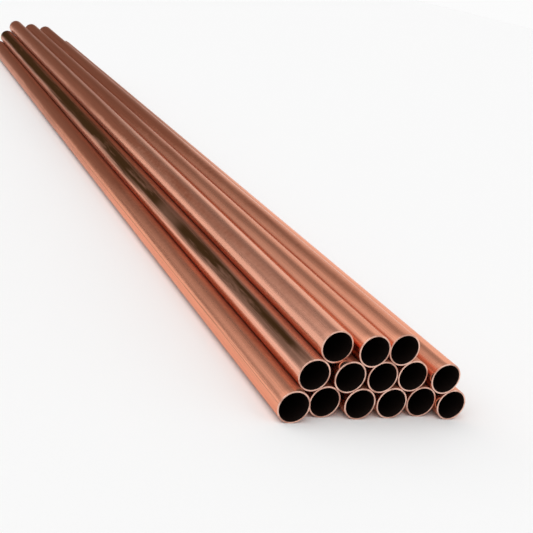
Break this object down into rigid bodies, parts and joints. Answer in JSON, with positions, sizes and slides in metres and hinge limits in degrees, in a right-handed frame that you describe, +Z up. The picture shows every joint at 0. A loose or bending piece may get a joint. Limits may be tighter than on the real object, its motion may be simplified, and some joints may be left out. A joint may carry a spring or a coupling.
{
  "type": "copper tube stack",
  "caption": "Loose stack of straight round copper tubes lying in three rows, each row seated in the valleys of the one below, with open, slightly staggered ends.",
  "frame": {"origin": "under the middle of the stack, on the floor that it lies on", "axes": "+X along the tubes towards the staggered ends that the picture shows, +Y across the rows, +Z up"},
  "size_m": [1.0086, 0.117, 0.0479],
  "materials": {
    "copper": "drawn copper, dull satin with brown tarnish and dark streaks"
  },
  "bodies": {
    "root": {"bottom_tube_1": "copper", "bottom_tube_2": "copper", "bottom_tube_3": "copper", "bottom_tube_4": "copper", "bottom_tube_5": "copper", "bottom_tube_6": "copper", "middle_tube_1": "copper", "middle_tube_2": "copper", "middle_tube_3": "copper", "middle_tube_4": "copper", "middle_tube_5": "copper", "top_tube_1": "copper", "top_tube_2": "copper", "top_tube_3": "copper"}
  },
  "joints": []
}
